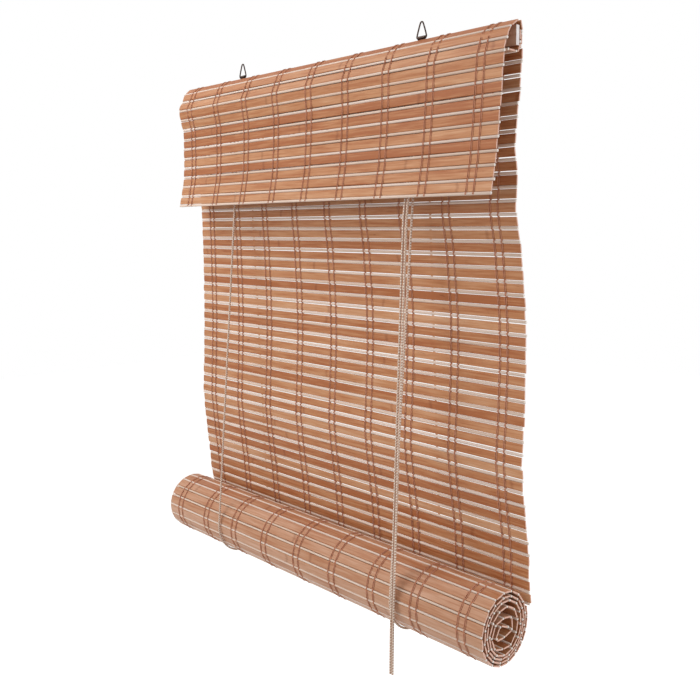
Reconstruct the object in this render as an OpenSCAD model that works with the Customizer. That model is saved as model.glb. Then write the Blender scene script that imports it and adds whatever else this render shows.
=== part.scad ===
// Bamboo roll-up blind with a folded valance, shown half rolled up.
// +X is to the right seen from the room, -Y faces the room, +Z is up.
// The origin lies midway between the two points that the hangers hang by.

/* [Mat] */
// length of the slats, which is the width of the blind
mat_w = 600; // [560:1:640]
// width of one flat slat
slat_w = 9.6; // [9.2:0.1:10]
// thickness of one flat slat
slat_t = 1.6; // [1.4:0.1:1.7]
// thickness of the round stick between two slats
stick_d = 2.8; // [2.6:0.1:2.9]
// open gap on each side of a stick
gap = 0.9; // [0.8:0.1:1.1]
// distance from the edge of the mat to its outermost pair of warp threads
edge_x = 28; // [24:1:40]
// distance between the two threads of a pair
warp_pair = 10; // [8:1:12]

/* [Roll] */
// depth of the roll's axis below the hanging points
drop = 653; // [640:1:700]
// outer radius of the rolled mat
roll_r = 41.5; // [40.5:0.1:41.5]
// distance from one turn of the roll to the next where they lie closest
turn_step = 4; // [3.6:0.1:4.2]

/* [Head] */
// thickness of the batten in the head
batten_t = 5; // [4.5:0.1:5.5]
// height of the batten in the head
batten_h = 20; // [18:0.5:20]
// distance from the middle to each hanger
hanger_x = 168; // [150:1:180]
// thickness of the hanger wire
wire_d = 1.8; // [1.6:0.1:1.9]

/* [Cords] */
// thickness of the braided cords
cord_d = 2.6; // [2.2:0.1:2.6]
// distance from the middle to the right lift cord
lift_x = 167; // [162:1:168]

/* [Hidden] */
pitch = slat_w + stick_d + 2 * gap;
web_t = 0.6;
thread_w = 1;
thread_t = 0.6;
cord_r = cord_d / 2;
warp_count = 9;
warp_step = (mat_w - 2 * edge_x) / (warp_count - 1);
slot_l = mat_w - 2 * edge_x - warp_pair - 4;
roll_x = -5;
roll_y = -4;
roll_z = -drop;
low = drop / 653;

// head: batten, strap and hanger
strap_t = 0.8;
strap_w = 11;
bar_z = -16.6;
curl_r = 1.9;
batten_top = -25.5;
batten_back = -strap_t / 2;
batten_mid = batten_back - batten_t / 2;
batten_low = batten_top - batten_h;
screw_z = -31.3;
tie_z = -36.5;

// wrap under the batten, and what is screwed up through it
wrap_z = -51.5;
wrap_y = 1.6;
wrap_top = -29.4;
lock_top = wrap_z - stick_d / 2;
lock_x = lift_x + 5;
lock_w = 30;
lock_h = 20;
plate_t = 1;
lock_front = -10;
lock_back = 1;
guide_z = lock_top - 7.5;
guide_r = 1.45;
over_r = guide_r + 0.25 + cord_r;
pawl_x = lock_x + lock_w / 2 - 5;
pawl_z = guide_z - 6;
eye_x = -lift_x;
eye_z = wrap_z - 7;
eye_r = 4.1;
eye_wire = 1.1;
bolt_x = [lock_x - lock_w / 2 + 6, lock_x + lock_w / 2 - 4];

// cords
left_y = -6.2;
right_y = -3.2;
sling_r = roll_r + 0.3 + cord_r;
left_lift_x = -lift_x - 4;
draw_z = guide_z - 2;

// path of each mat as [y, z], down from the head
valance_path = [[-1.6, -20], [-12.5, -29.5], [-16.8, -41], [-21.6, -53], [-23, -83],
    [-26, -124], [-30, -156], [-35, -186], [-39, -212]];
wrap_path = [[wrap_y, wrap_top], [wrap_y, wrap_z + 2.5], [wrap_y - 3, wrap_z], [wrap_y - 42, wrap_z]];
valance_tie = -196;
curtain_path = [[1.4, -20.2], [4.4, -30], [4.6, -60], [3, -111], [-1, -148], [4, -174], [1, -211 * low],
    [8, -248 * low], [12, -280 * low], [18, -322 * low], [19.5, -370 * low], [16, -438 * low],
    [13, -480 * low], [19, -523 * low], [25.5, -567 * low], [30, roll_z + 42],
    [beside_roll(19), roll_z + 19], [beside_roll(7), roll_z + 7]];
// how far each turn lies inside the first one, in turn_step, as the inner turns sag
// and where the inner end folds over, both for a roll of radius 41.5
inset = [[0, 0], [200, 0], [270, 0.15], [360, 1.3], [450, 0.9], [540, 1.1], [630, 1.65], [720, 2.55],
    [810, 1.85], [900, 2.1], [990, 3.3], [1080, 4.3], [1170, 2.9], [1260, 3.05], [1350, 5.6], [1440, 6.2],
    [1530, 3.9], [1620, 4.25]];
inner_fold = [[-21, 5.5], [-15, 8.5], [-5, 7.5], [4, 3.5], [9, -0.5]];
spiral_step = 15;
tight = roll_r / 41.5;
roll_path = concat([for (a = [0 : spiral_step : 1620])
    let (r = roll_r - stick_d / 2 - turn_step * tight * lookup(a, inset))
        [roll_y + r * cos(a), roll_z - r * sin(a)]],
    [for (p = inner_fold) [roll_y + tight * p[0], roll_z + tight * p[1]]]);

valance_table = tables(valance_path);
wrap_table = tables(wrap_path);
curtain_table = tables(curtain_path);
roll_table = tables(roll_path);
valance_rows = 13;
wrap_rows = 3;
curtain_rows = floor((length_of(curtain_path) + gap) / pitch);
roll_rows = floor((length_of(roll_path) - pitch) / pitch);

// y of the hanging mat at a height beside the roll, just clear of it
function beside_roll(h) = roll_y + sqrt(pow(roll_r, 2) - h * h) + stick_d / 2 + 0.3;

// distance along a path up to its point i
function run_to(path, i) = i == 0 ? 0 : run_to(path, i - 1) + norm(path[i] - path[i - 1]);
function length_of(path) = run_to(path, len(path) - 1);

// lookup tables of y and z against the distance along a path
function tables(path) = [for (k = [0, 1]) [for (i = [0 : len(path) - 1]) [run_to(path, i), path[i][k]]]];
function spot(tab, s) = [lookup(s, tab[0]), lookup(s, tab[1])];

function unit(v) = v / norm(v);
function front_of(a, b) = let (d = unit(b - a)) [d[1], -d[0]];
function reversed(list) = [for (i = [len(list) - 1 : -1 : 0]) list[i]];

// one face of one row: slat, web, stick and web
function row_face(tab, s, sg) = let (
        a = spot(tab, s),
        b = spot(tab, s + slat_w),
        c = spot(tab, s + slat_w + gap + stick_d / 2),
        e = spot(tab, s + pitch),
        n = front_of(a, b) * sg,
        m = front_of(b, e) * sg,
        v = unit(e - b) * stick_d / 2)
    [a + n * slat_t / 2, b + n * slat_t / 2, b + n * web_t / 2, c - v + m * web_t / 2,
        c - v / 2 + m * stick_d / 2, c + v / 2 + m * stick_d / 2, c + v + m * web_t / 2, e + m * web_t / 2];

// a row's face without the web after its stick, for the end of a mat
function last_face(tab, s, sg) = let (f = row_face(tab, s, sg)) [for (i = [0 : 6]) f[i]];

function mat_face(tab, rows, sg) = [for (i = [0 : rows - 1])
    for (p = i < rows - 1 ? row_face(tab, i * pitch, sg) : last_face(tab, i * pitch, sg)) p];

// one face of a row in the roll, where slat and stick lie close together
function turn_face(tab, s, sg) = let (
        a = spot(tab, s),
        b = spot(tab, s + slat_w),
        c = spot(tab, s + slat_w + gap + stick_d / 2),
        e = spot(tab, s + pitch),
        n = front_of(a, b) * sg,
        m = front_of(b, e) * sg,
        v = unit(e - b) * stick_d / 2)
    [a + n * slat_t / 2, b + n * slat_t / 2, c - v / 2 + m * stick_d / 2, c + v / 2 + m * stick_d / 2];

function turns_face(tab, rows, sg) = [for (i = [0 : rows - 1]) for (p = turn_face(tab, i * pitch, sg)) p];

// closed section of the rolled mat
function turns(tab, rows) = concat(turns_face(tab, rows, 1), reversed(turns_face(tab, rows, -1)));

// closed section of a whole mat
function outline(tab, rows) = concat(mat_face(tab, rows, 1), reversed(mat_face(tab, rows, -1)));

// the two open gaps of one row, as outlines
function gap_above(tab, s) = let (f = row_face(tab, s, 1), g = row_face(tab, s, -1),
        n = unit(f[2] - g[2]) * 0.2, m = unit(f[3] - g[3]) * 0.2)
    [f[2] + n, f[3] + m, g[3] - m, g[2] - n];
function gap_below(tab, s) = let (f = row_face(tab, s, 1), g = row_face(tab, s, -1),
        m = unit(f[6] - g[6]) * 0.2, n = unit(f[7] - g[7]) * 0.2)
    [f[6] + m, f[7] + n, g[7] - n, g[6] - m];

// face of a warp thread lying on the front of a mat, at depth d from its middle
function thread_face(path, d) = [for (i = [0 : len(path) - 1])
    let (a = path[max(i - 1, 0)], b = path[min(i + 1, len(path) - 1)]) path[i] + front_of(a, b) * d];

// points of a path down to a height
function down_to(path, z) = [for (p = path) if (p[1] > z) p];

// rings of a cord along points [x, y, z] or [x, y, z, radius]
function place(p) = [p[0], p[1], p[2]];
function radius(p) = len(p) > 3 ? p[3] : cord_r;
function heading(line, i) = unit(place(line[min(i + 1, len(line) - 1)]) - place(line[max(i - 1, 0)]));
function cord_ring(p, t, ref) = let (u = unit(cross(t, ref)), w = unit(cross(t, u)))
    [for (a = [0 : 45 : 315]) place(p) + radius(p) * (u * cos(a) + w * sin(a))];
function cord_rings(line, ref) = [for (i = [0 : len(line) - 1])
    for (q = cord_ring(line[i], heading(line, i), ref)) q];
function cord_sides(n) = [for (i = [0 : n - 2], j = [0 : 7])
    for (f = [[i * 8 + j, i * 8 + (j + 1) % 8, (i + 1) * 8 + j],
        [i * 8 + (j + 1) % 8, (i + 1) * 8 + (j + 1) % 8, (i + 1) * 8 + j]]) f];

// bend of a cord over the guide pin, from angle a0 to a1
function over_pin(y, a0, a1) = [for (a = [a0 : -30 : a1])
    [lock_x + over_r * cos(a), y, guide_z + over_r * sin(a)]];

module cord(line, ref) {
    n = len(line);
    polyhedron(cord_rings(line, ref), concat(cord_sides(n), [[for (j = [7 : -1 : 0]) j]],
        [[for (j = [0 : 7]) (n - 1) * 8 + j]]), convexity = 6);
}

module along_x(l) {
    translate([-l / 2, 0, 0])
        rotate([90, 0, 90])
            linear_extrude(l)
                children();
}

module along_y(x, z, y0, y1, r) {
    translate([x, y0, z])
        rotate([-90, 0, 0])
            cylinder(h = y1 - y0, r = r, $fn = 32);
}

// a mat as one ridged wall, open beside every stick
module mat(tab, rows) {
    difference() {
        along_x(mat_w)
            polygon(outline(tab, rows));
        along_x(slot_l)
            for (i = [0 : rows - 1]) {
                polygon(gap_above(tab, i * pitch));
                if (i < rows - 1)
                    polygon(gap_below(tab, i * pitch));
            }
    }
}

// pairs of warp threads on the front of a mat
module threads(path) {
    for (i = [0 : warp_count - 1], j = [-0.5, 0.5])
        translate([(i - (warp_count - 1) / 2) * warp_step + j * warp_pair, 0, 0])
            along_x(thread_w)
                polygon(concat(thread_face(path, slat_t / 2),
                    reversed(thread_face(path, slat_t / 2 + thread_t))));
}

module head_batten() {
    color([0.86, 0.76, 0.6])
        difference() {
            translate([-mat_w / 2, batten_back - batten_t, batten_low])
                cube([mat_w, batten_t, batten_h]);
            for (x = [-hanger_x, hanger_x])
                along_y(x, screw_z, batten_back - 4, 1, 1.25);
            for (x = [left_lift_x, lift_x])
                along_y(x, tie_z, -20, 1, cord_r + 0.3);
            for (x = [eye_x, bolt_x[0], bolt_x[1]])
                translate([x, batten_mid, batten_low - 1])
                    cylinder(h = 10.5, r = 1.25, $fn = 32);
        }
}

module head_wrap() {
    color([0.66, 0.44, 0.28])
        difference() {
            along_x(mat_w)
                polygon(outline(wrap_table, wrap_rows));
            for (x = [left_lift_x, lift_x])
                along_y(x, tie_z, -1, 4, cord_r + 0.3);
            for (x = [eye_x, bolt_x[0], bolt_x[1]])
                translate([x, batten_mid, wrap_z - 4])
                    cylinder(h = 9, r = 1.6, $fn = 32);
        }
}

module valance_mat() {
    color([0.72, 0.5, 0.33])
        mat(valance_table, valance_rows);
}

module valance_threads() {
    color([0.5, 0.33, 0.25])
        threads(down_to(valance_path, valance_tie));
}

module curtain_mat() {
    color([0.68, 0.46, 0.3])
        difference() {
            mat(curtain_table, curtain_rows);
            for (x = [left_lift_x, lift_x])
                along_y(x, tie_z, 2, 8, cord_r + 0.3);
        }
}

module curtain_threads() {
    color([0.5, 0.33, 0.25])
        threads(down_to(curtain_path, roll_z + roll_r));
}

module roll_mat() {
    color([0.7, 0.48, 0.32])
        translate([roll_x, 0, 0])
            along_x(mat_w)
                polygon(turns(roll_table, roll_rows));
}

// strap at x, with a hole for the cord tied at tie_x
module hanger_strap(x, tie_x) {
    foot = batten_low + 6;
    color([0.3, 0.28, 0.26])
        translate([x, 0, 0])
            difference() {
                union() {
                    translate([-strap_w / 2, -strap_t / 2, foot])
                        cube([strap_w, strap_t, bar_z - foot - (curl_r + 1) / 2]);
                    translate([-strap_w / 2, 0, bar_z])
                        rotate([0, 90, 0])
                            cylinder(h = strap_w, r = curl_r, $fn = 48);
                }
                translate([-strap_w, 0, bar_z])
                    rotate([0, 90, 0])
                        cylinder(h = 2 * strap_w, r = wire_d / 2 + 0.05, $fn = 48);
                along_y(0, screw_z, -2, 2, 2.5);
                along_y(tie_x - x, tie_z, -2, 2, cord_r + 0.3);
            }
}

module hanger_screws() {
    color([0.55, 0.55, 0.56])
        for (x = [-hanger_x, hanger_x]) {
            along_y(x, screw_z, batten_back - 3.5, strap_t / 2, 1.2);
            along_y(x, screw_z, batten_back, strap_t / 2, 2.4);
        }
}

// triangular wire loop on a straight bar that turns in its strap
module hanger_ring(x) {
    half = 7.5;
    top = wire_d / 2;
    lean = atan2(half - 1, top - bar_z);
    leg = norm([half - 1, top - bar_z]);
    color([0.33, 0.3, 0.27])
        translate([x, 0, bar_z])
            union() {
                translate([-half, 0, 0])
                    rotate([0, 90, 0])
                        cylinder(h = 2 * half, d = wire_d, $fn = 32);
                for (s = [-1, 1]) {
                    translate([s * half, 0, 0])
                        sphere(d = 1.15 * wire_d, $fn = 32);
                    translate([s * half, 0, 0])
                        rotate([0, -s * lean, 0])
                            cylinder(h = leg, d = wire_d, $fn = 32);
                    translate([s, 0, top - bar_z])
                        sphere(d = 1.15 * wire_d, $fn = 32);
                }
                translate([-1, 0, top - bar_z])
                    rotate([0, 90, 0])
                        cylinder(h = 2, d = wire_d, $fn = 32);
            }
}

// screw eye that turns the left cord towards the lock
module cord_eye_left() {
    color([0.6, 0.6, 0.6])
        translate([eye_x, batten_mid, eye_z])
            union() {
                rotate([0, 90, 0])
                    rotate_extrude($fn = 48)
                        translate([eye_r, 0])
                            circle(r = eye_wire, $fn = 24);
                translate([0, 0, eye_r])
                    cylinder(h = batten_low + 8.5 - eye_z - eye_r, r = 1.2, $fn = 32);
            }
}

// folded steel channel of the cord lock
module lock_housing() {
    color([0.62, 0.62, 0.63])
        difference() {
            translate([lock_x - lock_w / 2, lock_front, lock_top - lock_h])
                cube([lock_w, lock_back - lock_front, lock_h]);
            translate([lock_x - lock_w, lock_front + plate_t, lock_top - lock_h - 1])
                cube([2 * lock_w, lock_back - lock_front - 2 * plate_t, lock_h + 1 - plate_t]);
            along_y(lock_x, guide_z, -20, 20, guide_r + 0.05);
            along_y(pawl_x, pawl_z, -20, 20, 1.25);
            for (x = bolt_x)
                translate([x, batten_mid, lock_top - 4])
                    cylinder(h = 8, r = 1.4, $fn = 32);
        }
}

module lock_guide_pin() {
    color([0.7, 0.7, 0.7])
        along_y(lock_x, guide_z, lock_front - 0.5, lock_back + 0.5, guide_r);
}

// gripping pawl, with its lobe towards the cords
module lock_pawl() {
    lobe = lock_x + over_r + cord_r + 0.3;
    color([0.85, 0.84, 0.8])
        difference() {
            union() {
                along_y(pawl_x, pawl_z, lock_front + 1.4, lock_back - 1.4, 3);
                translate([lobe, lock_front + 1.4, pawl_z - 2])
                    cube([pawl_x - lobe, lock_back - lock_front - 2.8, 4]);
            }
            along_y(pawl_x, pawl_z, -20, 20, 1.25);
        }
}

module lock_pawl_pin() {
    color([0.7, 0.7, 0.7])
        along_y(pawl_x, pawl_z, lock_front - 0.5, lock_back + 0.5, 1.2);
}

module lock_screws() {
    color([0.55, 0.55, 0.56])
        for (x = bolt_x)
            translate([x, batten_mid, lock_top - plate_t]) {
                cylinder(h = batten_low + 8.5 - lock_top + plate_t, r = 1.2, $fn = 32);
                translate([0, 0, -1.4])
                    cylinder(h = 1.4, r = 2.4, $fn = 32);
            }
}

// back run of a lift cord: knotted in front of the batten, then down behind the mat
module back_run(x) {
    front = batten_back - batten_t;
    cord([[x, front - 5.4, tie_z, 1], [x, front - 4.6, tie_z, 2], [x, front - 3, tie_z, 2.6],
        [x, front - 1.2, tie_z, 2.4], [x, front - 0.4, tie_z], [x, 5, tie_z], [x, 7, tie_z - 0.8],
        [x, 8.4, tie_z - 2.8], [x, 8.9, tie_z - 6], [x, 9, tie_z - 22],
        [x, roll_y + sling_r + 2.2, roll_z + 12], [x, roll_y + sling_r + 1.6, roll_z + 5],
        [x, roll_y + sling_r, roll_z + 1.8], [x, roll_y + sling_r, roll_z + 0.15]], [1, 0, 0]);
}

module left_lift_cord() {
    color([0.9, 0.86, 0.78]) {
        cord(concat([[left_lift_x, roll_y - sling_r, roll_z + 0.15], [left_lift_x, -5.4, eye_z - 15.5],
            [left_lift_x, -4.4, eye_z - 6.5], [left_lift_x + 0.7, -3.7, eye_z - 3.3],
            [left_lift_x + 2.2, -3.2, eye_z - 1.1], [eye_x, batten_mid, eye_z],
            [eye_x + 3, batten_mid, eye_z + 0.5], [eye_x + 20, -3.2, eye_z + 0.9]],
            over_pin(left_y, 90, 0), [[lock_x + over_r, left_y, draw_z]]), [0, 1, 0]);
        back_run(left_lift_x);
    }
}

module right_lift_cord() {
    color([0.9, 0.86, 0.78]) {
        cord(concat([[lift_x, roll_y - sling_r, roll_z + 0.15], [lock_x - over_r, -5.6, guide_z - 22],
            [lock_x - over_r, right_y, guide_z - 6]], over_pin(right_y, 180, 0),
            [[lock_x + over_r, right_y, draw_z]]), [0, 1, 0]);
        back_run(lift_x);
    }
}

// part of a lift cord that goes under the roll
module cord_sling(x) {
    color([0.9, 0.86, 0.78])
        translate([x, roll_y, roll_z])
            rotate([90, 0, 90])
                rotate([0, 0, 180])
                    rotate_extrude(angle = 180, $fn = 96)
                        translate([sling_r, 0])
                            circle(r = cord_r, $fn = 24);
}

// one pull cord, which parts from the other towards side below the lock
module pull_cord(y0, side, x1, x2) {
    x0 = lock_x + over_r;
    color([0.9, 0.86, 0.78])
        cord([[x0, y0, draw_z - 0.1], [x0, y0, draw_z - 1.5], [x0, y0 - 0.7, draw_z - 7],
            [x0 + side, y0 - 1.7, draw_z - 14], [x1 - 1, -13, -104], [x1, -33.5, -204], [x1, -35.5, -240],
            [x2, -48, -632], [x2, -49.5, -680], [x2, -50, -735]], [1, 0, 0]);
}

head_batten();
head_wrap();
valance_mat();
valance_threads();
curtain_mat();
curtain_threads();
roll_mat();
hanger_strap(-hanger_x, left_lift_x);  // hanger_strap_left
hanger_strap(hanger_x, lift_x);  // hanger_strap_right
hanger_screws();
hanger_ring(-hanger_x);  // hanger_ring_left
hanger_ring(hanger_x);  // hanger_ring_right
cord_eye_left();
lock_housing();
lock_guide_pin();
lock_pawl();
lock_pawl_pin();
lock_screws();
left_lift_cord();
right_lift_cord();
cord_sling(left_lift_x);  // left_cord_sling
cord_sling(lift_x);  // right_cord_sling
pull_cord(left_y, -1, lift_x + 6.5, lift_x + 4);  // pull_cord_left
pull_cord(right_y, 1, lift_x + 11, lift_x + 7.5);  // pull_cord_right
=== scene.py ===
import bisect
import bmesh
import bpy
import math
import random
from mathutils import Matrix, Vector


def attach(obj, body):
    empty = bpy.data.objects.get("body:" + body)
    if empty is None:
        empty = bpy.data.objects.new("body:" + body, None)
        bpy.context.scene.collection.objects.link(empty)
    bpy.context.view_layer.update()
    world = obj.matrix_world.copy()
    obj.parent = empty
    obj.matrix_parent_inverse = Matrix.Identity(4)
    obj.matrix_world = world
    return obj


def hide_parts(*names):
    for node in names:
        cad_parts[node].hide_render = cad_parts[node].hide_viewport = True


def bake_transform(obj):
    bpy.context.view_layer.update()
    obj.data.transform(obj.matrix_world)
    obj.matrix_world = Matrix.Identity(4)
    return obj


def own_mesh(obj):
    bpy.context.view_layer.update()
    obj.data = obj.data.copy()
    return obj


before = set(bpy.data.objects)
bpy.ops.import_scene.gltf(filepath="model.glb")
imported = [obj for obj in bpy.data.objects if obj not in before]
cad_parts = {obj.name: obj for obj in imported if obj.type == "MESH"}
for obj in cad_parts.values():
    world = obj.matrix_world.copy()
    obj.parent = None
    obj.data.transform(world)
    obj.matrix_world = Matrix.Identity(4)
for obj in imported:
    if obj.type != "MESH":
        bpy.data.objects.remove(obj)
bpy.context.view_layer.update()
scene = bpy.context.scene
scene.view_settings.view_transform = "Standard"
chance = random.Random(31)  # same blind every time


# selection and joining, used by every piece
def clearSelection():
    if bpy.context.object and bpy.context.object.mode != "OBJECT":
        bpy.ops.object.mode_set(mode="OBJECT")
    bpy.ops.object.select_all(action="DESELECT")


def pickOnly(piece):
    clearSelection()
    piece.select_set(True)
    bpy.context.view_layer.objects.active = piece


def joinAll(pieces, name):
    clearSelection()
    for piece in pieces:
        piece.select_set(True)
    bpy.context.view_layer.objects.active = pieces[0]
    if len(pieces) > 1:
        bpy.ops.object.join()
    whole = bpy.context.view_layer.objects.active
    whole.name = name
    whole.data.name = name
    return whole


def copyOf(piece):
    twin = piece.copy()
    twin.data = piece.data.copy()
    scene.collection.objects.link(twin)
    return twin


def discard(piece):
    pickOnly(piece)
    bpy.ops.object.delete()


# camera at the photograph's angle
viewPoint = {
    "place": (0.8169, -0.7229, -0.2313),
    "azimuth": 46.648,
    "pitch": -4.301,
    "sensor": 36,
    "lens": 43.647,
    "shift": -0.08,
}


def placeCamera():
    clearSelection()
    turn = (math.radians(90 + viewPoint["pitch"]), 0, math.radians(viewPoint["azimuth"]))
    bpy.ops.object.camera_add(location=viewPoint["place"], rotation=turn)
    eye = bpy.context.object
    eye.name = "photo_camera"
    eye.data.sensor_width = viewPoint["sensor"]
    eye.data.lens = viewPoint["lens"]
    eye.data.shift_y = viewPoint["shift"]
    scene.camera = eye


placeCamera()
print("camera placed")


# finishes
def paint(red, green, blue):  # screen colour to the shader's linear one
    levels = []
    for level in (red, green, blue):
        share = level / 255
        levels.append(share / 12.92 if share <= 0.04045 else ((share + 0.055) / 1.055) ** 2.4)
    return (*levels, 1)


def newFinish(name):
    finish = bpy.data.materials.new(name)
    finish.use_nodes = True
    tree = finish.node_tree
    return finish, tree, tree.nodes["Principled BSDF"]


def addNode(tree, kind, **settings):
    node = tree.nodes.new(kind)
    for key, value in settings.items():
        if key in node.inputs:
            node.inputs[key].default_value = value
        else:
            setattr(node, key, value)
    return node


def addMath(tree, operation, first, second, third=None):
    node = tree.nodes.new("ShaderNodeMath")
    node.operation = operation
    for slot, value in enumerate((first, second, third)):
        if value is None:
            continue
        if isinstance(value, (int, float)):
            node.inputs[slot].default_value = value
        else:
            tree.links.new(value, node.inputs[slot])
    return node.outputs[0]


def shadeBy(tree, value, stops, shades):  # screen colours spread over a value
    ramp = tree.nodes.new("ShaderNodeValToRGB")
    bar = ramp.color_ramp
    while len(bar.elements) < len(stops):
        bar.elements.new(1)
    for element, place, shade in zip(bar.elements, stops, shades):
        element.position = place
        element.color = paint(*shade)
    tree.links.new(value, ramp.inputs["Fac"])
    return ramp.outputs["Color"]


def easeBetween(tree, value, begin, full, most):  # nothing at begin, then softly up to most at full
    ease = addNode(tree, "ShaderNodeMapRange", interpolation_type="SMOOTHSTEP")
    tree.links.new(value, ease.inputs["Value"])
    ease.inputs["From Min"].default_value = begin
    ease.inputs["From Max"].default_value = full
    ease.inputs["To Max"].default_value = most
    return ease.outputs["Result"]


def streakNoise(tree, source, size, detail, roughness=0.55):
    mapping = addNode(tree, "ShaderNodeMapping")
    mapping.inputs["Scale"].default_value = size
    tree.links.new(source, mapping.inputs["Vector"])
    noise = addNode(tree, "ShaderNodeTexNoise", Scale=1.0, Detail=detail, Roughness=roughness)
    tree.links.new(mapping.outputs["Vector"], noise.inputs["Vector"])
    return noise.outputs["Fac"]


def bumpInto(tree, shader, height, strength, distance):
    bump = addNode(tree, "ShaderNodeBump", Strength=strength, Distance=distance)
    tree.links.new(height, bump.inputs["Height"])
    tree.links.new(bump.outputs["Normal"], shader.inputs["Normal"])


bambooLook = {
    "skin": ((166, 98, 56), (186, 126, 84), (200, 146, 106), (214, 170, 136)),
    "inner": ((172, 112, 76), (190, 140, 108), (202, 156, 128), (216, 178, 154)),
    "stops": (0.0, 0.33, 0.62, 1.0),
    "streaks": {  # fineness along, through and across the cane, detail, roughness, weight
        "broad": ((7, 200, 300), 2, 0.55, 0.62),
        "fine": ((20, 800, 1150), 4, 0.75, 0.8),
        "patch": ((13, 40, 80), 3, 0.55, 0.75),
        "strand": ((26, 420, 520), 3, 0.55, 1.0),
    },
    "evenOut": -1.58,  # brings the sum of the streaks back to the middle of the shades
    "jointEvery": 0.41,  # distance between two joints of the cane
    "jointWander": 0.012,
    "jointHalf": 0.0095,  # half a joint's length along the cane, as a share of that distance
    "jointDark": 0.55,
    "jointRise": 0.8,
    "specks": ((70, 190, 260), 2),
    "speckFrom": (0.73, 0.8),  # noise level where a speck begins, and where it is full
    "speckDark": 0.9,
    "darkening": (0.62, 0.5, 0.42, 1),
    "roughness": 0.42,
    "roughStreaks": 0.22,
    "shine": 0.3,
    "bump": (0.35, 0.0003),
}


def bambooFinish(name, shades):
    finish, tree, shader = newFinish(name)
    grain = addNode(tree, "ShaderNodeAttribute", attribute_name="grain")
    tone = addNode(tree, "ShaderNodeAttribute", attribute_name="tone")
    along = grain.outputs["Vector"]
    mixed = tone.outputs["Fac"]
    streaks = {}
    for kind, (size, detail, roughness, weight) in bambooLook["streaks"].items():
        streaks[kind] = streakNoise(tree, along, size, detail, roughness)
        mixed = addMath(tree, "MULTIPLY_ADD", streaks[kind], weight, mixed)
    mixed = addMath(tree, "ADD", mixed, bambooLook["evenOut"])
    colour = shadeBy(tree, mixed, bambooLook["stops"], shades)
    place = addNode(tree, "ShaderNodeSeparateXYZ")
    tree.links.new(along, place.inputs["Vector"])
    cane = addMath(tree, "MULTIPLY_ADD", streaks["patch"], bambooLook["jointWander"], place.outputs["X"])
    cane = addMath(tree, "FRACT", addMath(tree, "DIVIDE", cane, bambooLook["jointEvery"]), 0.0)
    cane = addMath(tree, "ABSOLUTE", addMath(tree, "SUBTRACT", cane, 0.5), 0.0)
    joint = easeBetween(tree, cane, bambooLook["jointHalf"], 0.0, bambooLook["jointDark"])
    spots = streakNoise(tree, along, *bambooLook["specks"])
    speck = easeBetween(tree, spots, *bambooLook["speckFrom"], bambooLook["speckDark"])
    shade = tree.nodes.new("ShaderNodeMixRGB")
    shade.blend_type = "MULTIPLY"
    shade.inputs["Color2"].default_value = bambooLook["darkening"]
    tree.links.new(addMath(tree, "MAXIMUM", joint, speck), shade.inputs["Fac"])
    tree.links.new(colour, shade.inputs["Color1"])
    tree.links.new(shade.outputs["Color"], shader.inputs["Base Color"])
    gloss = addMath(tree, "MULTIPLY_ADD", streaks["fine"], bambooLook["roughStreaks"],
                    bambooLook["roughness"])
    tree.links.new(gloss, shader.inputs["Roughness"])
    shader.inputs["Specular IOR Level"].default_value = bambooLook["shine"]
    height = addMath(tree, "MULTIPLY_ADD", joint, bambooLook["jointRise"], streaks["fine"])
    bumpInto(tree, shader, height, *bambooLook["bump"])
    return finish


cutEndLook = {
    "pores": ((300, 2600, 2600), 3),
    "stops": (0.3, 0.7),
    "roughness": 0.8,
    "shine": 0.2,
    "bump": (0.3, 0.0002),
}


def cutEndFinish(name, low, high):  # sawn end grain
    finish, tree, shader = newFinish(name)
    grain = addNode(tree, "ShaderNodeAttribute", attribute_name="grain")
    pores = streakNoise(tree, grain.outputs["Vector"], *cutEndLook["pores"])
    tree.links.new(shadeBy(tree, pores, cutEndLook["stops"], (low, high)), shader.inputs["Base Color"])
    shader.inputs["Roughness"].default_value = cutEndLook["roughness"]
    shader.inputs["Specular IOR Level"].default_value = cutEndLook["shine"]
    bumpInto(tree, shader, pores, *cutEndLook["bump"])
    return finish


stickLook = {
    "shades": ((208, 176, 154), (222, 198, 180), (231, 212, 200)),
    "stops": (0.0, 0.4, 1.0),
    "streaks": ((14, 900, 900), 3),
    "streakShare": 0.5,
    "evenOut": -0.25,
    "roughness": 0.62,
    "shine": 0.25,
    "bump": (0.12, 0.0002),
}


def stickFinish():  # peeled round stick
    finish, tree, shader = newFinish("peeled_stick")
    grain = addNode(tree, "ShaderNodeAttribute", attribute_name="grain")
    tone = addNode(tree, "ShaderNodeAttribute", attribute_name="tone")
    streaks = streakNoise(tree, grain.outputs["Vector"], *stickLook["streaks"])
    mixed = addMath(tree, "MULTIPLY_ADD", streaks, stickLook["streakShare"], tone.outputs["Fac"])
    mixed = addMath(tree, "ADD", mixed, stickLook["evenOut"])
    colour = shadeBy(tree, mixed, stickLook["stops"], stickLook["shades"])
    tree.links.new(colour, shader.inputs["Base Color"])
    shader.inputs["Roughness"].default_value = stickLook["roughness"]
    shader.inputs["Specular IOR Level"].default_value = stickLook["shine"]
    bumpInto(tree, shader, streaks, *stickLook["bump"])
    return finish


twistLook = {
    "lean": 38,  # degrees that each lay of the strands leans
    "wobble": 0.6,
    "fuzz": (900.0, 3.0),
    "fuzzShare": 0.6,
    "braidShare": 0.5,
    "stops": (0.2, 0.75),
    "shine": 0.15,
    "bump": (0.5, 0.0003),
}


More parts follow.
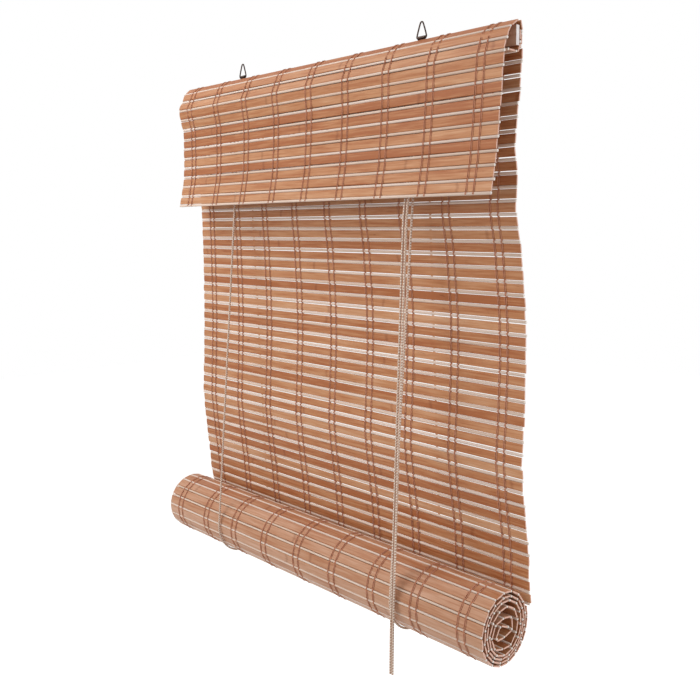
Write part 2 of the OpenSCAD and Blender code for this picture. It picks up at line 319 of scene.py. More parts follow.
def twistFinish(name, low, high, size, roughness):  # spun yarn and braided cord
    finish, tree, shader = newFinish(name)
    place = addNode(tree, "ShaderNodeTexCoord")
    lay = []
    for lean in (1, -1):
        mapping = addNode(tree, "ShaderNodeMapping")
        mapping.inputs["Rotation"].default_value = (0, lean * math.radians(twistLook["lean"]), 0)
        tree.links.new(place.outputs["Object"], mapping.inputs["Vector"])
        wave = addNode(tree, "ShaderNodeTexWave", wave_type="BANDS", bands_direction="Z",
                       Scale=size, Distortion=twistLook["wobble"])
        tree.links.new(mapping.outputs["Vector"], wave.inputs["Vector"])
        lay.append(wave.outputs["Fac"])
    braid = addMath(tree, "MULTIPLY", addMath(tree, "MULTIPLY", *lay), twistLook["braidShare"])
    fuzzSize, fuzzDetail = twistLook["fuzz"]
    fuzz = addNode(tree, "ShaderNodeTexNoise", Scale=fuzzSize, Detail=fuzzDetail)
    tree.links.new(place.outputs["Object"], fuzz.inputs["Vector"])
    mixed = addMath(tree, "MULTIPLY_ADD", fuzz.outputs["Fac"], twistLook["fuzzShare"], braid)
    tree.links.new(shadeBy(tree, mixed, twistLook["stops"], (low, high)), shader.inputs["Base Color"])
    shader.inputs["Roughness"].default_value = roughness
    shader.inputs["Specular IOR Level"].default_value = twistLook["shine"]
    bumpInto(tree, shader, mixed, *twistLook["bump"])
    return finish


battenLook = {
    # the sides' tan is painted shade and warm bounce light from inside the head; the end keeps the wood's
    # pale colour
    "side": ((196, 150, 122), (216, 176, 150)),
    "end": ((226, 216, 214), (246, 240, 238)),
    "stops": (0.25, 0.7),
    "rings": ((4, 420, 260), 4),
    "sawnFrom": 0.2998,  # beyond this much to either side it is the sawn end
    "roughness": 0.6,
    "shine": 0.3,
    "bump": (0.25, 0.0003),
}


def battenFinish():  # wood with painted warm shade on its sides, and a pale sawn end
    finish, tree, shader = newFinish("planed_batten_painted_shade")
    place = addNode(tree, "ShaderNodeTexCoord")
    rings = streakNoise(tree, place.outputs["Object"], *battenLook["rings"])
    spot = addNode(tree, "ShaderNodeSeparateXYZ")
    tree.links.new(place.outputs["Object"], spot.inputs["Vector"])
    aside = addMath(tree, "ABSOLUTE", spot.outputs["X"], 0.0)
    mix = tree.nodes.new("ShaderNodeMixRGB")
    tree.links.new(addMath(tree, "GREATER_THAN", aside, battenLook["sawnFrom"]), mix.inputs["Fac"])
    tree.links.new(shadeBy(tree, rings, battenLook["stops"], battenLook["side"]), mix.inputs["Color1"])
    tree.links.new(shadeBy(tree, rings, battenLook["stops"], battenLook["end"]), mix.inputs["Color2"])
    tree.links.new(mix.outputs["Color"], shader.inputs["Base Color"])
    shader.inputs["Roughness"].default_value = battenLook["roughness"]
    shader.inputs["Specular IOR Level"].default_value = battenLook["shine"]
    bumpInto(tree, shader, rings, *battenLook["bump"])
    return finish


wearLook = {
    "detail": 4,
    "stops": (0.3, 0.75),
    "rough": (0.25, -0.12),  # share of the wear, and what brings its middle back to none
    "bump": (0.12, 0.0002),
}


def wornFinish(name, low, high, metallic, roughness, size):  # metal and moulded parts
    finish, tree, shader = newFinish(name)
    place = addNode(tree, "ShaderNodeTexCoord")
    worn = streakNoise(tree, place.outputs["Object"], size, wearLook["detail"])
    tree.links.new(shadeBy(tree, worn, wearLook["stops"], (low, high)), shader.inputs["Base Color"])
    shader.inputs["Metallic"].default_value = metallic
    share, lower = wearLook["rough"]
    tree.links.new(addMath(tree, "MULTIPLY_ADD", worn, share, roughness + lower), shader.inputs["Roughness"])
    bumpInto(tree, shader, worn, *wearLook["bump"])
    return finish


slatSkin = bambooFinish("bamboo_skin", bambooLook["skin"])
slatInner = bambooFinish("bamboo_inner", bambooLook["inner"])
# slat ends: pale end grain, lightened further with painted light on the end faces
slatEndGrainAndLight = cutEndFinish("bamboo_cut_end_and_painted_light", (212, 162, 142), (242, 206, 190))
stickSkin = stickFinish()
stickEnd = cutEndFinish("stick_cut_end", (236, 222, 212), (252, 246, 240))
warpYarn = twistFinish("warp_yarn", (182, 118, 90), (228, 174, 146), size=420.0, roughness=0.9)
liftCord = twistFinish("braided_cord", (184, 138, 108), (255, 246, 234), size=125.0, roughness=0.85)
# the batten's sides carry painted shade and bounce light
battenWoodPaintedShade = battenFinish()
darkWire = wornFinish("browned_wire", (38, 26, 22), (78, 58, 48),
                      metallic=0.7, roughness=0.42, size=(300, 300, 300))
zincSteel = wornFinish("zinc_plate", (150, 150, 152), (196, 196, 198),
                       metallic=0.95, roughness=0.4, size=(240, 240, 500))
nylonPawl = wornFinish("moulded_nylon", (222, 219, 208), (236, 233, 224),
                       metallic=0.0, roughness=0.5, size=(500, 500, 500))
print("finishes made")


# routes
def pathTable(points):
    lengths = [0.0]
    for before, after in zip(points, points[1:]):
        lengths.append(lengths[-1] + math.dist(before, after))
    return points, lengths


def pathSpot(table, along):
    points, lengths = table
    leg = min(max(bisect.bisect_right(lengths, along) - 1, 0), len(points) - 2)
    share = (along - lengths[leg]) / (lengths[leg + 1] - lengths[leg])
    share = min(max(share, 0.0), 1.0)
    return Vector(points[leg]).lerp(Vector(points[leg + 1]), share)


def routeLength(points):
    return pathTable(points)[1][-1]


def roundRoute(points, times):  # cuts the corners of a route, and keeps its ends
    for turn in range(times):
        cut = [points[0]]
        for before, after in zip(points, points[1:]):
            before, after = Vector(before), Vector(after)
            cut += [tuple(before.lerp(after, 0.25)), tuple(before.lerp(after, 0.75))]
        points = cut + [points[-1]]
    return points


tubeBuild = {
    "weld": 0.000002,
    "crease": 50,  # degrees, a sharper edge stays sharp
}


def tubeAlong(name, routes, thickness, roundness, finish, closed=False, tilt=0.0):
    curve = bpy.data.curves.new(name, "CURVE")
    curve.dimensions = "3D"
    curve.bevel_depth = thickness / 2
    curve.bevel_resolution = roundness
    curve.use_fill_caps = not closed
    for route in routes:
        spline = curve.splines.new("POLY")
        spline.points.add(len(route) - 1)
        for point, place in zip(spline.points, route):
            point.co = (place[0], place[1], place[2], 1)
            point.tilt = tilt
            if len(place) > 3:
                point.radius = place[3]
        spline.use_cyclic_u = closed
    tube = bpy.data.objects.new(name, curve)
    scene.collection.objects.link(tube)
    pickOnly(tube)
    bpy.ops.object.convert(target="MESH")
    tube = bpy.context.object
    bpy.ops.object.mode_set(mode="EDIT")
    bpy.ops.mesh.select_all(action="SELECT")
    bpy.ops.mesh.remove_doubles(threshold=tubeBuild["weld"])
    bpy.ops.mesh.normals_make_consistent(inside=False)
    bpy.ops.object.mode_set(mode="OBJECT")
    bpy.ops.object.shade_smooth_by_angle(angle=math.radians(tubeBuild["crease"]))
    tube.data.materials.clear()
    tube.data.materials.append(finish)
    return tube


# cords: two lift cords, their slings under the roll and two pull cords
cordRig = {
    "thickness": 0.0026,
    "roundness": 2,
    "rollAxis": (-0.004, -0.653),
    "slingRadius": 0.0431,
    "slingEvery": 6,  # degrees between two points of a sling
    "slingGap": 0.00015,  # from a sling's front end up to the run above it
    "leftX": -0.171,
    "rightX": 0.167,
    "pin": (0.172, -0.0604),  # the lock's guide pin, and how far off it the cords bend
    "overPin": 0.003,
    "pinEvery": 30,
    "grip": (0.175, -0.0624),  # where the pawl holds both cords
    "leftDepth": -0.0062,
    "rightDepth": -0.0032,
    "tieHeight": -0.0365,
    "freeFrom": (-0.0355, -0.240),  # below the valance the pull cords hang free
    "endHeight": -0.735,
    "slide": (0, 0.034979, 0.999388),
    "travel": 0.38,
}


def arcPoint(x, centre, reach, turn):  # a point round the roll's axis
    angle = math.radians(turn)
    return (x, centre[0] + reach * math.cos(angle), centre[1] + reach * math.sin(angle))


def overPin(depth, fromTurn):
    pinX, pinZ = cordRig["pin"]
    reach = cordRig["overPin"]
    return [(pinX + reach * math.cos(math.radians(turn)), depth, pinZ + reach * math.sin(math.radians(turn)))
            for turn in range(fromTurn, -1, -cordRig["pinEvery"])]


def liftWithRoll(piece):  # gives the piece a mesh of its own
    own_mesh(piece)


def layCord(name, route):
    return tubeAlong(name, [route], cordRig["thickness"], cordRig["roundness"], liftCord)


def layLiftCords():
    axisY, axisZ = cordRig["rollAxis"]
    reach = cordRig["slingRadius"]
    frontY, frontZ = axisY - reach, axisZ + cordRig["slingGap"]
    leftX, rightX = cordRig["leftX"], cordRig["rightX"]
    leftDepth, rightDepth = cordRig["leftDepth"], cordRig["rightDepth"]
    gripX, gripZ = cordRig["grip"]
    leftFront = [(leftX, frontY, frontZ), (leftX, -0.0054, -0.074), (leftX, -0.0044, -0.065),
                 (-0.1703, -0.0037, -0.0618), (-0.1688, -0.0032, -0.0596), (-0.167, -0.0029, -0.0585),
                 (-0.164, -0.0029, -0.058), (-0.147, -0.0032, -0.0576)]
    leftFront += overPin(leftDepth, 90) + [(gripX, leftDepth, gripZ)]
    rightFront = [(rightX, frontY, frontZ), (0.169, -0.0056, -0.0824), (0.169, rightDepth, -0.0664)]
    rightFront += overPin(rightDepth, 180) + [(gripX, rightDepth, gripZ)]
    tie = cordRig["tieHeight"]
    for side, route, x in (("left", leftFront, leftX), ("right", rightFront, rightX)):
        run = layCord(side + "_lift_front", roundRoute(route, 1))
        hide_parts(side + "_lift_cord")
        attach(run, "head")
        liftWithRoll(run)
        # knot in front of the batten, then over the edge and down the back
        back = [(x, -0.0108, tie, 0.7), (x, -0.0100, tie, 1.5), (x, -0.0084, tie, 2.0),
                (x, -0.0068, tie, 1.7), (x, -0.0058, tie, 1.0), (x, 0.005, tie),
                (x, 0.007, tie - 0.0008), (x, 0.0084, tie - 0.0028), (x, 0.0089, tie - 0.006),
                (x, 0.009, tie - 0.022), (x, 0.0382, -0.585)]
        run = layCord(side + "_lift_back", back)
        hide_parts(side + "_lift_cord")
        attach(run, "head")
        liftWithRoll(run)
        foot = [back[-1], (x, 0.0413, -0.641), (x, 0.0407, -0.648),
                (x, 0.0391, -0.6512), (x, 0.0391, -0.65285)]
        run = layCord(side + "_lift_foot", foot)
        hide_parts(side + "_lift_cord")
        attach(run, "lift_slings")
        sling = [arcPoint(x, (axisY, axisZ), reach, turn) for turn in range(180, 361, cordRig["slingEvery"])]
        loop = layCord(side + "_sling", sling)
        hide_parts(side + "_cord_sling")
        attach(loop, "lift_slings")


def layPullCords():
    gripX = cordRig["grip"][0]
    freeY, freeZ = cordRig["freeFrom"]
    endZ = cordRig["endHeight"]
    for side, depth, part, upperX, lowerX in (("left", cordRig["leftDepth"], -0.001, 0.1735, 0.171),
                                              ("right", cordRig["rightDepth"], 0.001, 0.178, 0.1745)):
        route = [(gripX, depth, -0.0625), (gripX, depth, -0.0639), (gripX, depth - 0.0007, -0.0694),
                 (gripX + part, depth - 0.0017, -0.0764), (upperX - 0.001, -0.013, -0.104),
                 (upperX, -0.0335, -0.204), (upperX, freeY, freeZ), (lowerX, -0.048, -0.632),
                 (lowerX, -0.0495, -0.680), (lowerX, -0.050, endZ)]
        route = roundRoute(route, 2)
        pull = layCord(side + "_pull_cord", route)
        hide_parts("pull_cord_" + side)
        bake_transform(pull)


layLiftCords()
layPullCords()
print("cords laid")


# slats and sticks: one of each is modelled, then copied down every mat
matBuild = {
    "width": 0.600,
    "slatWidth": 0.0096,
    "slatThick": 0.0016,
    "slatEdge": 0.00045,  # bevel of the four long edges
    "slatCrease": 32,
    "slatCuts": (-0.2, -0.1, 0.0, 0.1, 0.2),  # where a slat can bow
    "crown": 0.00025,  # how far the cane's skin stands proud in the middle of a slat
    "stickThick": 0.0028,
    "stickSides": 8,
    "stickRim": 0.0003,
    "stickCrease": 50,
    "stickCuts": (-0.15, 0.0, 0.15),
    "facing": (0.9, 0.5),  # a slat's or a stick's face that looks this much along it is a cut end
    "gap": 0.0009,
    "near": 0.00001,  # as good as on the spot
}
rowPitch = matBuild["slatWidth"] + matBuild["stickThick"] + 2 * matBuild["gap"]
stickPlace = matBuild["slatWidth"] + matBuild["gap"] + matBuild["stickThick"] / 2


def markEdges(piece, test):
    mesh = bmesh.from_edit_mesh(piece.data)
    for edge in mesh.edges:
        edge.select = test(edge)
    mesh.select_flush_mode()
    bmesh.update_edit_mesh(piece.data)


def cutAcross(places, normal):
    for place in places:
        bpy.ops.mesh.select_all(action="SELECT")
        bpy.ops.mesh.bisect(plane_co=place, plane_no=normal)


def closeShape(crease):  # back to object mode, with outward faces and smooth rounds
    bpy.ops.mesh.select_all(action="SELECT")
    bpy.ops.mesh.normals_make_consistent(inside=False)
    bpy.ops.object.mode_set(mode="OBJECT")
    bpy.ops.object.shade_smooth_by_angle(angle=math.radians(crease))


def modelSlat():
    clearSelection()
    bpy.ops.mesh.primitive_cube_add(size=1)
    slat = bpy.context.object
    slat.scale = (matBuild["width"], matBuild["slatThick"], matBuild["slatWidth"])
    bpy.ops.object.transform_apply(location=False, rotation=False, scale=True)
    bpy.ops.object.mode_set(mode="EDIT")
    bpy.ops.mesh.select_mode(type="EDGE")
    half, near = matBuild["width"] / 2, matBuild["near"]
    markEdges(slat, lambda edge: abs(edge.verts[0].co.x - edge.verts[1].co.x) > half)  # the four long edges
    bpy.ops.mesh.bevel(offset=matBuild["slatEdge"], segments=1, affect="EDGES")
    cutAcross([(x, 0, 0) for x in matBuild["slatCuts"]], (1, 0, 0))
    cutAcross([(0, 0, 0)], (0, 0, 1))
    front = -matBuild["slatThick"] / 2
    markEdges(slat, lambda edge: all(abs(v.co.z) < near and v.co.y < front + near for v in edge.verts))
    bpy.ops.transform.translate(value=(0, -matBuild["crown"], 0))
    closeShape(matBuild["slatCrease"])
    for finish in (slatSkin, slatEndGrainAndLight, slatInner):
        slat.data.materials.append(finish)
    facing = matBuild["facing"][0]
    for face in slat.data.polygons:
        face.material_index = 1 if abs(face.normal.x) > facing else 2 if face.normal.y > facing else 0
    return slat


def modelStick():
    clearSelection()
    bpy.ops.mesh.primitive_cylinder_add(vertices=matBuild["stickSides"], radius=matBuild["stickThick"] / 2,
                                        depth=matBuild["width"], rotation=(0, math.pi / 2, 0))
    stick = bpy.context.object
    bpy.ops.object.transform_apply(location=False, rotation=True, scale=False)
    bpy.ops.object.mode_set(mode="EDIT")
    bpy.ops.mesh.select_mode(type="EDGE")
    end = matBuild["width"] / 2 - matBuild["near"]
    markEdges(stick, lambda edge: all(abs(v.co.x) > end for v in edge.verts))  # both rims
    bpy.ops.mesh.bevel(offset=matBuild["stickRim"], segments=1, affect="EDGES")
    cutAcross([(x, 0, 0) for x in matBuild["stickCuts"]], (1, 0, 0))
    closeShape(matBuild["stickCrease"])
    for finish in (stickSkin, stickEnd):
        stick.data.materials.append(finish)
    for face in stick.data.polygons:
        face.material_index = 1 if abs(face.normal.x) > matBuild["facing"][1] else 0
    return stick


# how much one cane differs from the next
canePlay = {
    "tones": ((0.13, (0.02, 0.14)), (0.3, (0.46, 0.62)), (1.0, (0.2, 0.42))),  # dark, pale and plain slats
    "stickTones": (0.2, 0.8),
    "grain": (9, 3, 3),  # room that the pieces of grain are taken from
    "slatBow": 0.00035,
    "slatLean": 0.0003,
    "slatFill": (-0.04, 0.03),
    "slatShift": 0.0008,
    "slatTilt": 0.03,
    "stickBow": 0.0004,
    "stickLean": 0.0003,
    "stickFill": (0.92, 1.06),
    "stickShift": 0.0014,
}


def noteGrain(mesh, tone):  # every copy gets its own piece of cane
    shift = Vector([chance.uniform(0, most) for most in canePlay["grain"]])
    mesh.attributes.new("grain", "FLOAT_VECTOR", "POINT")
    mesh.attributes.new("tone", "FLOAT", "POINT")
    grain, shade = mesh.attributes["grain"], mesh.attributes["tone"]
    for spot, vertex in enumerate(mesh.vertices):
        grain.data[spot].vector = vertex.co + shift
        shade.data[spot].value = tone


def slatTone():
    draw = chance.random()
    for limit, tones in canePlay["tones"]:
        if draw < limit:
            return chance.uniform(*tones)


def play(kind, loose):  # up to that much to either side
    return chance.uniform(-1, 1) * canePlay[kind] * loose


def bowed(piece, bow, lean, fill, shiftX):  # no two canes are quite straight
    half = matBuild["width"] / 2
    for vertex in piece.data.vertices:
        share = vertex.co.x / half
        vertex.co.z = vertex.co.z * fill + bow * (1 - share * share) + lean * share
        vertex.co.x += shiftX


def layRow(mat, table, along, slats, sticks):
    loose, middleX = mat["loose"], mat["middleX"]
    top = pathSpot(table, along)
    low = pathSpot(table, along + matBuild["slatWidth"])
    down = (low - top).normalized()
    turn = Matrix.Rotation(math.atan2(down[0], -down[1]), 4, "X")
    middle = (top + low) / 2
    twin = copyOf(oneSlat)
    noteGrain(twin.data, slatTone())
    bow, lean = play("slatBow", loose), play("slatLean", loose)
    fill = mat["slatFill"] * (1 + chance.uniform(*canePlay["slatFill"]) * loose)
    bowed(twin, bow, lean, fill, middleX + play("slatShift", loose))
    tilt = Matrix.Rotation(play("slatTilt", loose), 4, "X")
    twin.data.transform(Matrix.Translation((0, middle[0], middle[1])) @ turn @ tilt)
    slats.append(twin)
    place = pathSpot(table, along + stickPlace)
    twin = copyOf(oneStick)
    noteGrain(twin.data, chance.uniform(*canePlay["stickTones"]))
    bow, lean = play("stickBow", loose), play("stickLean", loose)
    fill = chance.uniform(*canePlay["stickFill"]) * mat["stickFill"]
    bowed(twin, bow, lean, fill, middleX + play("stickShift", loose))
    twin.data.transform(Matrix.Translation((0, place[0], place[1])) @ turn)
    sticks.append(twin)


def layMat(name, mat, table, rows):
    slats, sticks = [], []
    for row in rows:
        layRow(mat, table, row * rowPitch, slats, sticks)
    return joinAll(slats, name + "_slats"), joinAll(sticks, name + "_sticks")


def swayMat(piece, sway):  # moves a mat's left and right edge by different amounts down its height
    heights = [row[0] for row in sway]
    for vertex in piece.data.vertices:
        spot = min(max(bisect.bisect_left(heights, vertex.co.z), 1), len(sway) - 1)
        low, high = sway[spot - 1], sway[spot]
        share = min(max((vertex.co.z - low[0]) / (high[0] - low[0]), 0), 1)
        left = low[1] + (high[1] - low[1]) * share
        right = low[2] + (high[2] - low[2]) * share
        across = 0.5 - vertex.co.x / matBuild["width"]
        vertex.co.y += left * across + right * (1 - across)


# warp yarn: one line is made, before and behind the mat, then copied across it
warpBuild = {
    "edge": 0.028,  # from the mat's edge to the outermost pair
    "pairs": 9,
    "apart": 0.010,  # between the two lines of a pair
    "thickness": 0.0008,
    "tilt": math.pi / 4,  # turns a flat side of the yarn to the front
    "steps": (  # along the row, off its middle, spread of the loop
        (0.0004, 0.0013, 1.0), (0.0092, 0.0013, 1.0), (0.01005, 0.0004, 0.3),
        (0.0110, 0.0016, 0.6), (0.0128, 0.0016, 0.6), (0.01375, 0.0004, 0.3),
    ),
    "spread": 0.0009,  # half the width of a loop over a slat
}


def yarnRoute(table, rows, side, leg, lead):
    route = [(leg * warpBuild["spread"], place[0], place[1]) for place in lead]
    slatWidth = matBuild["slatWidth"]
    for row in rows:
        start = row * rowPitch
        top, low = pathSpot(table, start), pathSpot(table, start + slatWidth)
        after = pathSpot(table, start + rowPitch)
        alongSlat = (low - top).normalized()
        past = after - low
        alongStick = past.normalized() if past.length > matBuild["near"] else alongSlat
        steps = warpBuild["steps"]
        if row == rows[-1]:
            steps = steps[:-1]  # the yarn ends on the last stick
        for step, lift, wide in steps:
            if step < slatWidth:
                place, down = top.lerp(low, step / slatWidth), alongSlat
            else:
                place, down = pathSpot(table, start + step), alongStick
            front = Vector((down[1], -down[0]))
            place = place + front * lift * side
            route.append((leg * wide * warpBuild["spread"], place[0], place[1]))
    return route


def layYarn(name, table, rows, frontLegs=(-1, 1), frontLead=(), backLead=(), middleX=0.0):
    routes = [yarnRoute(table, rows, 1, leg, frontLead) for leg in frontLegs]
    routes += [yarnRoute(table, rows, -1, leg, backLead) for leg in (-1, 1)]
    line = tubeAlong(name, routes, warpBuild["thickness"], 0, warpYarn, tilt=warpBuild["tilt"])
    step = (matBuild["width"] - 2 * warpBuild["edge"]) / (warpBuild["pairs"] - 1)
    lines = []
    for pair in range(warpBuild["pairs"]):
        for side in (-0.5, 0.5):
            twin = copyOf(line)
            across = middleX + (pair - (warpBuild["pairs"] - 1) / 2) * step + side * warpBuild["apart"]
            twin.data.transform(Matrix.Translation((across, 0, 0)))
            lines.append(twin)
    discard(line)
    return joinAll(lines, name)


oneSlat = modelSlat()
oneStick = modelStick()
print("slat and stick modelled")

# valance: the front fall of the folded head
valance = {
    "path": [(-0.0016, -0.020), (-0.0125, -0.0295), (-0.0168, -0.041), (-0.0216, -0.053), (-0.023, -0.083),
             (-0.026, -0.124), (-0.030, -0.156), (-0.035, -0.186), (-0.039, -0.212)],
    "rows": range(13),
    "lead": [(0.0, -0.0186)],  # where the yarn comes over the fold
    "middleX": 0.0,
    "loose": 1.0,
    "slatFill": 1.06,  # height of its slats and sticks, as a share of the modelled ones
    "stickFill": 1.22,
    "sway": [  # height, then how far the left and the right edge hang back
        (-0.212, 0.013, -0.0065), (-0.190, 0.015, -0.006), (-0.160, 0.016, -0.005), (-0.144, 0.015, -0.0055),
        (-0.114, 0.012, -0.0055), (-0.083, 0.009, -0.005), (-0.062, 0.002, -0.004), (-0.050, 0.0, -0.0035),
        (-0.034, 0.001, -0.0045), (-0.020, 0, 0),
    ],
}
table = pathTable(valance["path"])
valanceSlats, valanceSticks = layMat("valance", valance, table, valance["rows"])
valanceYarn = layYarn("valance_yarn", table, valance["rows"], frontLead=valance["lead"])
for piece, node, slotName in ((valanceSlats, "valance_mat", "bamboo"),
                              (valanceSticks, "valance_mat", "bamboo"),
                              (valanceYarn, "valance_threads", "warp_thread")):
    swayMat(piece, valance["sway"])
    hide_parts(node)
    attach(piece, "head")
print("valance laid")

# wrap: the end of the mat that closes the head below the batten
wrap = {
    "path": [(0.0016, -0.0294), (0.0016, -0.049), (-0.0014, -0.0515), (-0.0404, -0.0515)],
    "rows": range(3),
    "middleX": 0.0,
    "loose": 0.5,
    "slatFill": 1.0,
    "stickFill": 1.0,
}
table = pathTable(wrap["path"])
wrapSlats, wrapSticks = layMat("wrap", wrap, table, wrap["rows"])
wrapYarn = layYarn("wrap_yarn", table, wrap["rows"])
for piece, slotName in ((wrapSlats, "bamboo"), (wrapSticks, "bamboo"), (wrapYarn, "warp_thread")):
    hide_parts("head_wrap")
    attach(piece, "head")
print("wrap laid")

# curtain: the hanging mat down to the roll
curtain = {
    "path": [(0.0014, -0.0202), (0.0044, -0.030), (0.0046, -0.060), (0.003, -0.111), (-0.001, -0.148),
             (0.004, -0.174), (0.001, -0.211), (0.008, -0.248), (0.012, -0.280), (0.018, -0.322),
             (0.0195, -0.370), (0.016, -0.438), (0.013, -0.480), (0.019, -0.523), (0.0255, -0.567),
             (0.030, -0.611), (0.0346, -0.634), (0.0386, -0.646)],
    "footRows": 4,
    "lead": [(0.0002, -0.0186)],
    "middleX": 0.0,
    "loose": 1.0,
    "slatFill": 1.03,
    "stickFill": 1.3,
    "sway": [
        (-0.640, 0, 0), (-0.622, 0, 0.0015), (-0.589, 0, 0.004), (-0.555, 0, 0.0026),
        (-0.523, 0.001, 0.0016), (-0.480, 0.003, 0.002), (-0.438, 0.0015, 0.002),
        (-0.370, 0, 0.0007), (-0.322, 0.0015, 0),
        (-0.280, 0.007, 0), (-0.248, 0.0105, -0.0005), (-0.211, 0.0165, -0.0033), (-0.174, 0.011, -0.004),
        (-0.148, 0.0135, -0.004), (-0.111, 0.006, -0.0045), (-0.076, 0.001, 0), (-0.030, 0, 0),
    ],
}
table = pathTable(curtain["path"])
curtainRows = int((routeLength(curtain["path"]) + matBuild["gap"]) / rowPitch)
hangingRows = range(curtainRows - curtain["footRows"])
footRows = range(curtainRows - curtain["footRows"], curtainRows)
lastStick = pathSpot(table, hangingRows[-1] * rowPitch + stickPlace)
for rows, name in ((hangingRows, "curtain"), (footRows, "curtain_foot")):
    slats, sticks = layMat(name, curtain, table, rows)
    yarn = layYarn(name + "_yarn", table, rows, backLead=curtain["lead"] if name == "curtain" else [])
    for piece, node, slotName in ((slats, "curtain_mat", "bamboo"), (sticks, "curtain_mat", "bamboo"),
                                  (yarn, "curtain_threads", "warp_thread")):
        swayMat(piece, curtain["sway"])
        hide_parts(node)
        if name == "curtain":
            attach(piece, "head")
            liftWithRoll(piece)
        else:
            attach(piece, "lift_slings")  # the rows beside the roll go up with it
print("curtain laid,", curtainRows, "rows")

# roll: the rest of the mat, rolled up from its lower end
roll = {
    "axis": cordRig["rollAxis"],
    "radius": 0.0401,  # to the middle of the mat's thickness
    "turnStep": 0.004,
    "turnEvery": 15,  # degrees between two points of the winding
    "inset": [  # degrees from the back, and how many steps further in
        (-17, 0), (200, 0), (270, 0.15), (360, 1.0), (450, 0.85), (540, 1.1), (630, 1.5), (720, 1.95),
        (810, 1.7), (900, 2.15), (990, 2.6), (1080, 3.0), (1170, 2.55), (1260, 3.2), (1350, 3.8),
    ],
    "woundRows": 54,  # wound round and round, then the loose core
    "core": (66, 38, 8, -28, -66, -100, -130, -180, 164,
             112, 66, 12, -8, -84, -164, 178, 58, -22),  # heading of each loose row, in degrees
    "middleX": -0.004,
    "loose": 0.4,
    "slatFill": 1.13,
    "stickFill": 1.0,
}


def windingPoint(turn):
    for (before, low), (after, high) in zip(roll["inset"], roll["inset"][1:]):
        if before <= turn <= after:
            inset = low + (high - low) * (turn - before) / (after - before)
    reach = roll["radius"] - roll["turnStep"] * inset
    return arcPoint(0, roll["axis"], reach, -turn)[1:]


def rollPath():
    first, last = roll["inset"][0][0], roll["inset"][-1][0]
    table = pathTable([windingPoint(turn) for turn in range(first, last + 1, roll["turnEvery"])])
    wound = roll["woundRows"] * rowPitch
    spot = pathSpot(table, wound)
    path = [point for point, along in zip(*table) if along < wound] + [tuple(spot)]
    slatWidth = matBuild["slatWidth"]
    for heading, after in zip(roll["core"], roll["core"][1:] + roll["core"][-1:]):
        bend = (after - heading + 180) % 360 - 180
        for angle, length in ((heading, slatWidth), (heading + bend / 2, rowPitch - slatWidth)):
            spot = spot + length * Vector((math.cos(math.radians(angle)), math.sin(math.radians(angle))))
            path.append(tuple(spot))
    return path


table = pathTable(rollPath())
rollRows = range(int((table[1][-1] + matBuild["gap"]) / rowPitch))
rollSlats, rollSticks = layMat("roll", roll, table, rollRows)
rollYarn = layYarn("roll_yarn", table, rollRows, frontLegs=(0,), middleX=roll["middleX"])
for piece, slotName in ((rollSlats, "bamboo"), (rollSticks, "bamboo"), (rollYarn, "warp_thread")):
    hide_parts("roll_mat")
    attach(piece, "roll")
discard(oneSlat)
discard(oneStick)
print("roll laid,", len(rollRows), "rows")

# hanger rings: one closed loop of bent wire each
hanger = {
    "x": 0.168,
    "wire": 0.0018,
    "roundness": 3,
    "half": [(0.0062, -0.0166), (0.0069, -0.0163), (0.0071, -0.0155), (0.0069, -0.0142), (0.0058, -0.0105),
             (0.0042, -0.0060), (0.0027, -0.0020), (0.0018, -0.0001), (0.0010, 0.0007), (0.0, 0.0009)],
}


def bendRing(name, x):
    loop = [(x + across, 0.0, height) for across, height in hanger["half"]]
    loop += [(x - across, 0.0, height) for across, height in reversed(hanger["half"][:-1])]
    return tubeAlong(name, [loop], hanger["wire"], hanger["roundness"], darkWire, closed=True)


for side, x in (("left", -hanger["x"]), ("right", hanger["x"])):
    ring = bendRing(side + "_ring", x)
    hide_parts("hanger_ring_" + side)
    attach(ring, side + "_hanger")
print("rings bent")

# carried-over parts of the head get their finishes
keptParts = {
    "head_batten": battenWoodPaintedShade,
    "hanger_strap_left": darkWire,
    "hanger_strap_right": darkWire,
    "hanger_screws": zincSteel,
    "cord_eye_left": zincSteel,
    "lock_housing": zincSteel,
    "lock_guide_pin": zincSteel,
    "lock_pawl": nylonPawl,
    "lock_pawl_pin": zincSteel,
    "lock_screws": zincSteel,
}
for nodeName, finish in keptParts.items():
    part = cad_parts[nodeName]
    if part.material_slots:
        for slot in part.material_slots:
            slot.material = finish
    else:
        part.data.materials.append(finish)
print("head parts finished")

# studio: pale floor, white surround, soft lamps
studio = {
    "floorHeight": -1.6,
    "floorSize": 14,
    "floorShade": (0.84, 0.84, 0.84, 1),
    "floorRoughness": 0.9,
    "floorGlow": 0.64,  # what the floor lacks to look white
    "surround": 0.42,
    "white": (1, 1, 1, 1),
    "lamps": (  # place, aim, size, watts
        ((-1.2, -1.3, 1.45), (-0.05, 0.0, -0.35), 1.2, 31.0),
        ((-0.8, -2.1, 0.35), (-0.05, 0.0, -0.4), 1.2, 14.0),
        ((1.5, 0.35, -0.3), (0.2, 0.0, -0.6), 0.7, 7.0),
        ((0.3, 1.8, 0.5), (0.0, 0.0, -0.35), 1.6, 13.0),
    ),
}


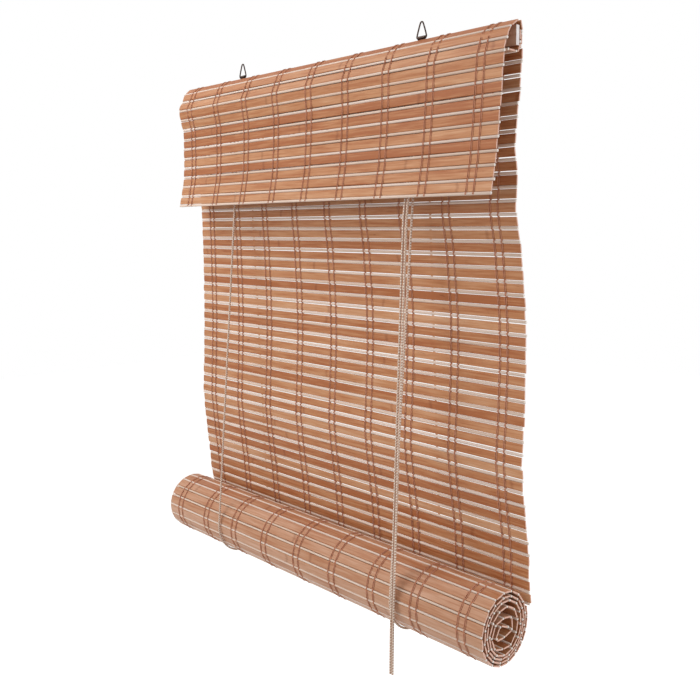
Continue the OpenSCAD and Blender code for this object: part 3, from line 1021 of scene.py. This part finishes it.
def seenDirectly(tree):  # 1 where the camera, a reflection or glass sees the surface
    path = tree.nodes.new("ShaderNodeLightPath")
    seen = addMath(tree, "MAXIMUM", path.outputs["Is Camera Ray"], path.outputs["Is Glossy Ray"])
    return addMath(tree, "MAXIMUM", seen, path.outputs["Is Transmission Ray"])


def hangSurround():
    world = bpy.data.worlds.new("white_surround")
    world.use_nodes = True
    scene.world = world
    tree = world.node_tree
    soft = tree.nodes["Background"]
    soft.inputs["Color"].default_value = studio["white"]
    soft.inputs["Strength"].default_value = studio["surround"]
    plain = addNode(tree, "ShaderNodeBackground", Strength=1.0)
    plain.inputs["Color"].default_value = studio["white"]
    mix = tree.nodes.new("ShaderNodeMixShader")
    tree.links.new(seenDirectly(tree), mix.inputs[0])
    tree.links.new(soft.outputs[0], mix.inputs[1])
    tree.links.new(plain.outputs[0], mix.inputs[2])
    tree.links.new(mix.outputs[0], tree.nodes["World Output"].inputs["Surface"])


def placeLamps():
    for place, aim, size, watts in studio["lamps"]:
        clearSelection()
        toward = Vector(aim) - Vector(place)
        turn = toward.to_track_quat("-Z", "Y").to_euler()
        bpy.ops.object.light_add(type="AREA", location=place, rotation=turn)
        lamp = bpy.context.object
        lamp.data.shape = "SQUARE"
        lamp.data.size = size
        lamp.data.energy = watts


def layFloor():
    clearSelection()
    bpy.ops.mesh.primitive_plane_add(size=studio["floorSize"], location=(0, 0, studio["floorHeight"]))
    floor = bpy.context.object
    floor.name = "pale_floor"
    finish, tree, shader = newFinish("pale_floor")
    shader.inputs["Base Color"].default_value = studio["floorShade"]
    shader.inputs["Roughness"].default_value = studio["floorRoughness"]
    glow = addNode(tree, "ShaderNodeEmission")
    strength = addMath(tree, "MULTIPLY", seenDirectly(tree), studio["floorGlow"])
    tree.links.new(strength, glow.inputs["Strength"])
    both = tree.nodes.new("ShaderNodeAddShader")
    tree.links.new(shader.outputs[0], both.inputs[0])
    tree.links.new(glow.outputs[0], both.inputs[1])
    tree.links.new(both.outputs[0], tree.nodes["Material Output"].inputs["Surface"])
    floor.data.materials.append(finish)


hangSurround()
placeLamps()
layFloor()
print("studio lit")
